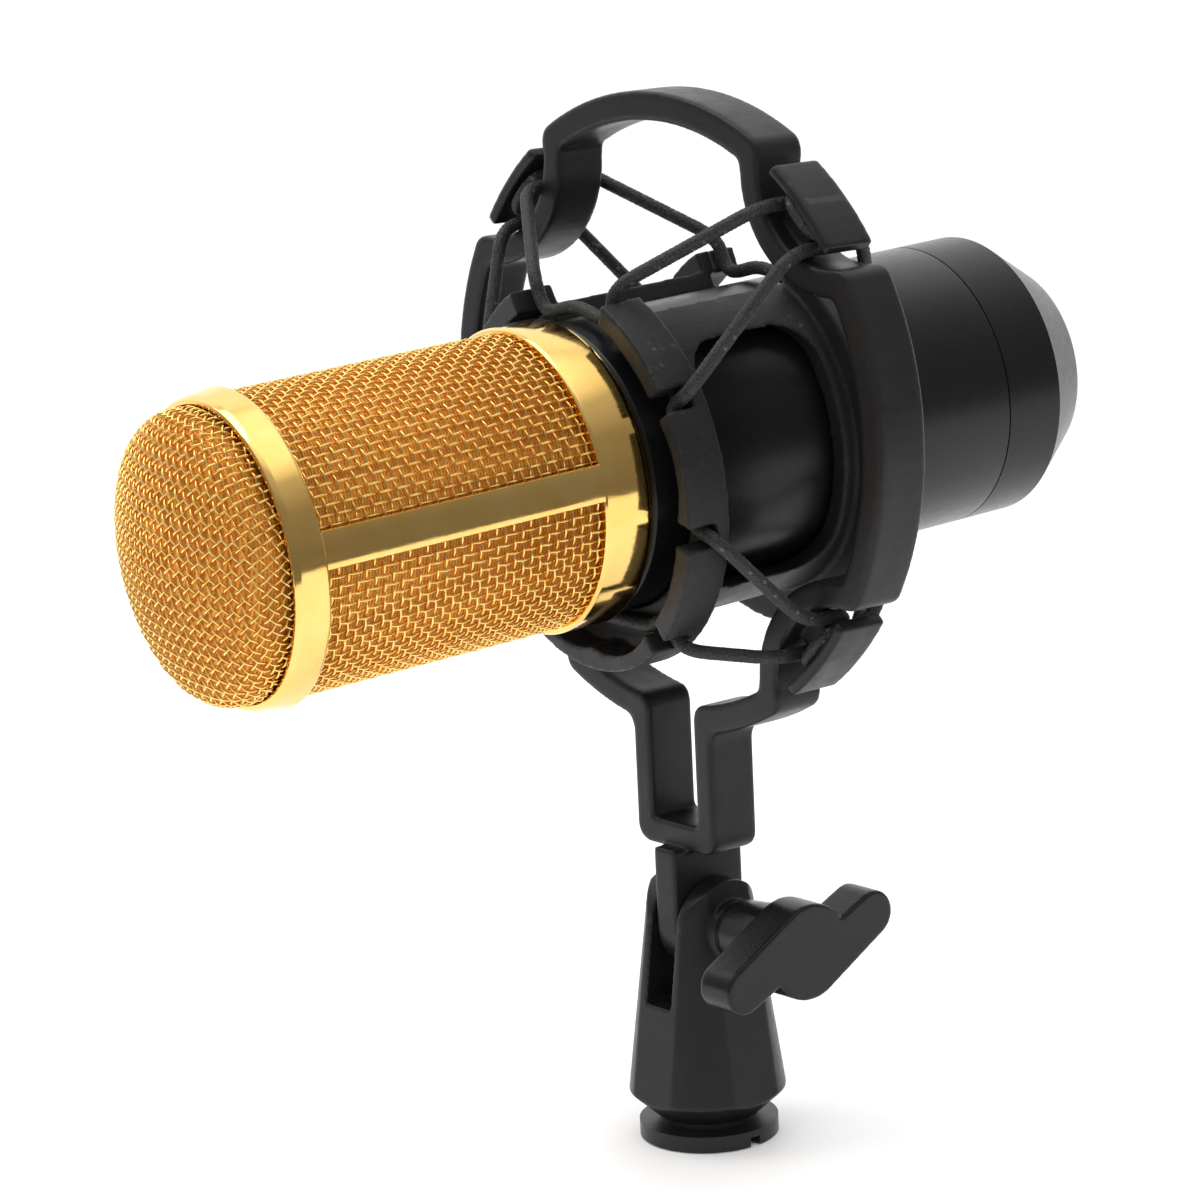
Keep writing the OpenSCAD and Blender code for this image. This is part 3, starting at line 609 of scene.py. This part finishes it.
# each profile is a list of (radius, station) corners with a radius for each corner
RING_BORE, TUBE_BORE = BODY_R - 0.4, BODY_R - TUBE_WALL
ring0, ring1 = TOP_RING_R - 0.9, TOP_RING_R
top_ring = fillet(
    [(RING_BORE, TOP_RING_Y0 - 0.1), (ring0 - 0.5, TOP_RING_Y0 - 0.1), (ring0, TOP_RING_Y0 + 0.9),
     (ring1 - 0.15, GRILLE_Y0 - 0.5), (ring1 - 0.5, GRILLE_Y0), (RING_BORE, GRILLE_Y0),
     (RING_BORE, TOP_RING_Y0 + 2.2)],
    [0.15, 0.45, 0.8, 0.5, 0.2, 0.1, 0], 4)
base_ring = fillet(
    [(RING_BORE, BASE_RING_Y0), (BASE_RING_R - 0.45, BASE_RING_Y0),
     (BASE_RING_R - 0.15, BASE_RING_Y0 + 0.5), (BASE_RING_R, TUBE_Y0 - 1.6),
     (BASE_RING_R - 1.5, TUBE_Y0 - 0.02), (TUBE_BORE + 0.2, TUBE_Y0 - 0.02),
     (TUBE_BORE + 0.2, BASE_RING_Y0 + 3)],
    [0.1, 0.25, 0.4, 1.6, 0.5, 0, 0], 5)
for name, profile, node in (("dome_ring", top_ring, "top_ring"), ("body_ring", base_ring, "base_ring")):
    piece(name, "microphone", GOLD, lathe(name, profile), "gold_plate", node, smooth=SHARP)


def straps():
    """Two slightly crowned flat bars with rolled edges, one each side."""
    verts, faces = [], []
    y0, y1, steps = GRILLE_Y0 - 0.05, BASE_RING_Y0 + 0.05, 32
    # distance in from the strap's edge, and how far below its crown
    rolled = [(0, 0.79), (0, 0.31), (0.12, 0.11), (0.4, 0.03), (STRAP_HALF - 1.2, 0.01)]
    left = [(edge - STRAP_HALF, STRAP_R - drop) for edge, drop in rolled]
    section = left + [(0, STRAP_R)] + [(-w, r) for w, r in reversed(left)]
    for turn in (0, 180):
        a = math.radians(STRAP_ANGLE + turn)
        out, up = Vector((math.cos(a), 0, math.sin(a))), Vector((-math.sin(a), 0, math.cos(a)))
        base, n = len(verts), len(section)
        for k in range(steps + 1):
            y = y0 + (y1 - y0) * k / steps
            verts += [out * r + up * w + Vector((0, y, 0)) for w, r in section]
        for k in range(steps):
            p = base + k * n
            faces += [(p + i, p + i + 1, p + n + i + 1, p + n + i) for i in range(n - 1)]
            faces.append((p + n - 1, p, p + n, p + 2 * n - 1))
    mesh = mesh_from("straps", verts, faces, HUNG)
    tidy_normals(mesh)
    return mesh


piece("grille_straps", "microphone", GOLD, straps(), "gold_plate", "side_straps", smooth=SHARP)

# ---- body ----
tube = fillet(
    [(TUBE_BORE, TUBE_Y0 + 0.02), (BODY_R - 0.3, TUBE_Y0 + 0.02), (BODY_R, TUBE_Y0 + 0.4),
     (BODY_R, SEAM_Y - 0.25), (BODY_R - 0.3, SEAM_Y), (TUBE_BORE, SEAM_Y)],
    [0, 0.15, 0.3, 0.12, 0.05, 0], 3)
sleeve = lathe("body_sleeve", tube)
piece("body_sleeve", "microphone", BODY_BLACK, sleeve, "body_black", "body_tube", smooth=SHARP)
softened("tail_ring", BODY_BLACK, "body_black", 0.25)

# ---- the remaining CAD nodes with rounded edges ----
for node, shade, slot, voxel, rounds in (
    ("inner_cage", CAGE_BLACK, "cage_black", 0.32, 6),
    ("outer_frame", FRAME_BLACK, "frame_black", 0.34, 14),
    ("swivel_base", SWIVEL_BLACK, "swivel_black", 0.25, 6),
    ("wing_knob", KNOB_BLACK, "knob_black", 0.25, 16),
):
    moulded_shape(node, shade, slot, voxel, rounds)
softened("stand_adapter", ADAPTER_BLACK, "adapter_black", 0.25)
softened("xlr_insert", INSERT_BLACK, "connector_black", 0.2, segments=3)
softened("xlr_pins", CONTACT, "contact", 0.35, segments=3)
softened("clamp_washer", BLACK_STEEL, "black_steel", 0.12)
for node in ("hex_nut", "clamp_bolt", "saddle_screws", "board_screws", "insert_screw"):
    softened(node, STEEL, "steel", 0.12)
for node in ("capsule_saddle", "capsule_post"):
    softened(node, WHITE, "white_plastic", 0.3)
for node in ("chassis_deck", "chassis_rails"):
    softened(node, ZINC, "cast_zinc", 0.25)
softened("capsule", CAPSULE, "capsule_shell", 0.3)
softened("capsule_membranes", FILM, "membrane", 0.05)
softened("circuit_board", BOARD, "board", 0.1)
softened("board_capacitors", CAPACITOR, "capacitor", 0.35)
softened("board_transistors", TRANSISTOR, "black_part", 0.2)
softened("board_resistors", RESISTOR, "resistor", 0.2)
softened("capsule_wires", RED_LEAD, "red_lead", 0)
softened("output_wires", BLUE_LEAD, "blue_lead", 0)
for node in ("dome_liner", "grille_liner"):
    softened(node, LINER, "liner_mesh", 0)

# ---- elastic cords ----
CORD_R = 1.1
# at a hook: the loop's distance from the frame's middle, half its width, its reach in front and behind
HOOK_OUT = {"front_elastic": 44.6, "rear_elastic": 46.9}
SIDE, FRONT, BACK = 4.6, 6.4, 3.1
# at the cage: the radius where a notch lets the cord out, how much further out a run's middle is,
# and the degrees from a notch at which a run starts and at which the bottom run bends
MOUTH, RELIEF, TURN, SPAN = 32.4, 0.8, 3.5, 10.5
CORD_GAP = 0.2
# the braid's strands each way, and how much of the radius they stand up
BRAID, BRAID_DEPTH = 9, 0.20
# spacing of the cord's sections, their sides, and how far from a stop its bend starts
CORD_STEP, CORD_SIDES, CORD_BEND = 0.18, 36, 4.0


def cord_route(sign, layer):
    """The closed loop's stops in millimetres, and the four places per hook where it is cut."""
    station = sign * (CAGE_HALF - NOTCH_DEPTH + CORD_R + CORD_GAP)
    inside = RING_IN - CORD_R - CORD_GAP

    def on_cage(r, turn):
        """A point at a radius and a turn round the cage's ring."""
        t = math.radians(turn)
        return HUNG_MM @ Vector((r * math.cos(t), station, r * math.sin(t) - RING_DROP))

    def at_hook(turn, across, y):
        """A point beside the hook that is at a turn round the frame."""
        t = math.radians(turn)
        return Vector((layer * math.cos(t) - across * math.sin(t), y,
                       FRAME_Z + layer * math.sin(t) + across * math.cos(t)))

    stops, cuts = [], []
    for k in range(4):
        turn = 45 + 90 * k
        notch = 2 * k - 2 if k < 3 else -4
        n0, n1 = (90 + (j + 0.5) * NOTCH_PITCH for j in (notch, notch + 1))
        lead = on_cage(inside + RELIEF, n0 - NOTCH_PITCH / 2) if k < 3 else on_cage(inside, n0 - SPAN)
        hook = [at_hook(turn, -SIDE, sign * FRONT), at_hook(turn, -SIDE, -sign * BACK),
                at_hook(turn, SIDE, -sign * BACK), at_hook(turn, SIDE, sign * FRONT)]
        stops += [lead, on_cage(inside, n0 - TURN), on_cage(RING_IN + 0.5, n0), on_cage(MOUTH, n0)]
        stops += hook
        stops += [on_cage(MOUTH, n1), on_cage(RING_IN + 0.5, n1), on_cage(inside, n1 + TURN)]
        if k == 2:
            stops.append(on_cage(inside, n1 + SPAN))
        cuts += [on_cage(MOUTH, n0), hook[0], hook[3], on_cage(MOUTH, n1)]
    return stops, cuts


def round_off(points, steps=8):
    """Straight runs joined by short curved bends."""
    out = []
    for i, p in enumerate(points):
        back, on = points[i - 1] - p, points[(i + 1) % len(points)] - p
        a = p + back.normalized() * min(CORD_BEND, 0.45 * back.length)
        b = p + on.normalized() * min(CORD_BEND, 0.45 * on.length)
        for k in range(steps + 1):
            t = k / steps
            out.append(a * (1 - t) ** 2 + p * (2 * t * (1 - t)) + b * t * t)
    return out


def even_steps(points, step):
    """Points at equal steps along a closed line."""
    loop = points + points[:1]
    reach = [0.0]
    for a, b in zip(loop, loop[1:]):
        reach.append(reach[-1] + (b - a).length)
    count, out, i = round(reach[-1] / step), [], 0
    for k in range(count):
        s = reach[-1] * k / count
        while reach[i + 1] < s:
            i += 1
        out.append(loop[i].lerp(loop[i + 1], (s - reach[i]) / (reach[i + 1] - reach[i])))
    return out


def braided(name, line, first):
    """A braided cord over a run of points; first is the run's place along the whole loop."""
    verts, faces, sides = [], [], CORD_SIDES
    strand = 2 * math.pi * CORD_R / BRAID
    for i, (p, side, up) in enumerate(line):
        s = (first + i) * CORD_STEP / strand
        for k in range(sides):
            t = 2 * math.pi * k / sides
            u, v = BRAID * k / sides + s, BRAID * k / sides - s
            over = (math.floor(u) + math.floor(v)) % 2
            high = abs(math.sin(math.pi * (u if over else v)))
            r = CORD_R * (1 - BRAID_DEPTH + BRAID_DEPTH * high)
            verts.append(p + side * (r * math.cos(t)) + up * (r * math.sin(t)))
    for i in range(len(line) - 1):
        a, b = i * sides, (i + 1) * sides
        faces += [(a + k, a + (k + 1) % sides, b + (k + 1) % sides, b + k) for k in range(sides)]
    last = (len(line) - 1) * sides
    faces += [tuple(reversed(range(sides))), tuple(range(last, last + sides))]
    return mesh_from(name, verts, faces)


def cord_pieces(label, sign):
    """One elastic, cut into loops on the hooks, runs in the cage and strands between them."""
    stops, cuts = cord_route(sign, HOOK_OUT[label])
    points = even_steps(round_off(stops), CORD_STEP)
    n = len(points)
    ahead = [(points[(i + 1) % n] - points[i - 1]).normalized() for i in range(n)]
    up = ahead[0].orthogonal().normalized()
    frames = []
    for p, d in zip(points, ahead):
        up = (up - d * up.dot(d)).normalized()
        frames.append((p, d.cross(up), up))
    at = [min(range(n), key=lambda i: (points[i] - cut).length) for cut in cuts]
    for c, (a, b) in enumerate(zip(at, at[1:] + [at[0] + n])):
        run = [frames[i % n] for i in range(a, b + 1)]
        k, part = divmod(c, 4)
        mesh = braided(f"{label}_{c}", run, a)
        if part in (0, 2):
            obj = link(bpy.data.objects.new(f"{label}_strand_{k}_{part // 2}", mesh))
            mesh.materials.append(YARN)
            mesh.polygons.foreach_set("use_smooth", [True] * len(mesh.polygons))
            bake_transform(obj)
        elif part == 1:
            replaced = [label] if k == 0 else []
            piece(f"{label}_loop_{k}", "frame", YARN, mesh, "elastic_cord", *replaced)
        else:
            piece(f"{label}_run_{k}", "cage", YARN, mesh, "elastic_cord")


cord_pieces("front_elastic", -1)
cord_pieces("rear_elastic", 1)

# ---- floor, backdrop and light ----
# the floor's radius in metres, its points and the degrees between them: they don't go all round,
# so its camera side is cut off straight and the gold mirrors the dark room beyond the cut
FLOOR_R, FLOOR_POINTS, FLOOR_STEP = 0.75, 64, 3.75
# the point that the lamps face, in metres
LIT = Vector((0, 0, 0.1))
# strength of the surroundings on matt surfaces, in reflections and to the camera
EVEN_LIGHT, MIRRORED_LIGHT, SEEN_LIGHT = 1.4, 1.5, 1.05
# how bright the mirrored room is at a given height, from level to straight up
ROOM = ((0.0, 0.13), (0.50, 0.18), (0.78, 0.36), (0.92, 1.0), (1.0, 1.0))
# the bright wall opposite the camera, by how nearly a reflection points at it
WALL = {"From Min": 0.15, "From Max": 0.55, "To Min": 0.0, "To Max": 0.85}


def floor():
    """Matt pale ground just under the adapter."""
    n = Nodes("pale floor")
    shade = n.surface(
        color=n.mix(n.span(n.noise(3, 3), 0.3, 0.7, 0, 1), (0.86, 0.86, 0.86), (0.9, 0.9, 0.9)),
        rough=n.span(n.noise(40, 3), 0.3, 0.7, 0.55, 0.7),
        normal=n.bump(n.noise(900, 2), 0.0001, 0.05),
    )
    turns = [math.radians(FLOOR_STEP * k) for k in range(FLOOR_POINTS)]
    rim = [(FLOOR_R * math.cos(t), FLOOR_R * math.sin(t), -0.0002) for t in turns]
    mesh = bpy.data.meshes.new("floor")
    mesh.from_pydata(rim, [], [tuple(range(FLOOR_POINTS))])
    mesh.materials.append(shade)
    link(bpy.data.objects.new("floor", mesh))


def area_light(name, at, size, power):
    """A square soft light aimed at the object."""
    data = bpy.data.lights.new(name, "AREA")
    data.shape = "RECTANGLE"
    data.size = data.size_y = size
    data.energy = power
    obj = link(bpy.data.objects.new(name, data))
    obj.location = at
    obj.rotation_mode = "QUATERNION"
    obj.rotation_quaternion = (LIT - Vector(at)).to_track_quat("-Z", "Y")
    return obj


def backdrop():
    """White to the camera, a dark-and-light studio in reflections, even white on matt surfaces."""
    world = bpy.data.worlds.new("studio")
    world.use_nodes = True
    bpy.context.scene.world = world
    tree = world.node_tree
    tree.nodes.clear()
    new, wire = tree.nodes.new, tree.links.new
    out = new("ShaderNodeOutputWorld")
    rays = new("ShaderNodeLightPath")
    coords = new("ShaderNodeTexCoord")
    split = new("ShaderNodeSeparateXYZ")
    wire(coords.outputs["Generated"], split.inputs[0])
    height = new("ShaderNodeValToRGB")
    wire(split.outputs["Z"], height.inputs["Fac"])
    ends = height.color_ramp.elements
    while len(ends) < len(ROOM):
        ends.new(0.5)
    for end, (at, value) in zip(ends, ROOM):
        end.position, end.color = at, (value, value, value, 1)
    behind = new("ShaderNodeVectorMath")
    behind.operation = "DOT_PRODUCT"
    wire(coords.outputs["Generated"], behind.inputs[0])
    away = math.radians(CAMERA_TURN)
    behind.inputs[1].default_value = (-math.sin(away), math.cos(away), 0.0)
    wall = new("ShaderNodeMapRange")
    wire(behind.outputs["Value"], wall.inputs["Value"])
    for key, value in WALL.items():
        wall.inputs[key].default_value = value
    brighter = new("ShaderNodeMix")
    brighter.data_type, brighter.blend_type = "RGBA", "LIGHTEN"
    brighter.inputs[0].default_value = 1.0
    wire(height.outputs["Color"], brighter.inputs[6])
    wire(wall.outputs["Result"], brighter.inputs[7])
    mirrored, even, seen = (new("ShaderNodeBackground") for _ in range(3))
    wire(brighter.outputs[2], mirrored.inputs["Color"])
    for node, strength in ((mirrored, MIRRORED_LIGHT), (even, EVEN_LIGHT), (seen, SEEN_LIGHT)):
        node.inputs["Strength"].default_value = strength
    for node in (even, seen):
        node.inputs["Color"].default_value = (1, 1, 1, 1)
    glossy, direct = new("ShaderNodeMixShader"), new("ShaderNodeMixShader")
    wire(rays.outputs["Is Glossy Ray"], glossy.inputs["Fac"])
    wire(even.outputs[0], glossy.inputs[1])
    wire(mirrored.outputs[0], glossy.inputs[2])
    wire(rays.outputs["Is Camera Ray"], direct.inputs["Fac"])
    wire(glossy.outputs[0], direct.inputs[1])
    wire(seen.outputs[0], direct.inputs[2])
    wire(direct.outputs[0], out.inputs["Surface"])


floor()
area_light("key", (-0.5, -0.5, 1.1), 0.7, 4.0)
area_light("fill", (0.9, 0.2, 0.9), 0.5, 1.5).visible_glossy = False
backdrop()
bpy.context.scene.view_settings.view_transform = "Standard"
bpy.context.scene.view_settings.look = "None"
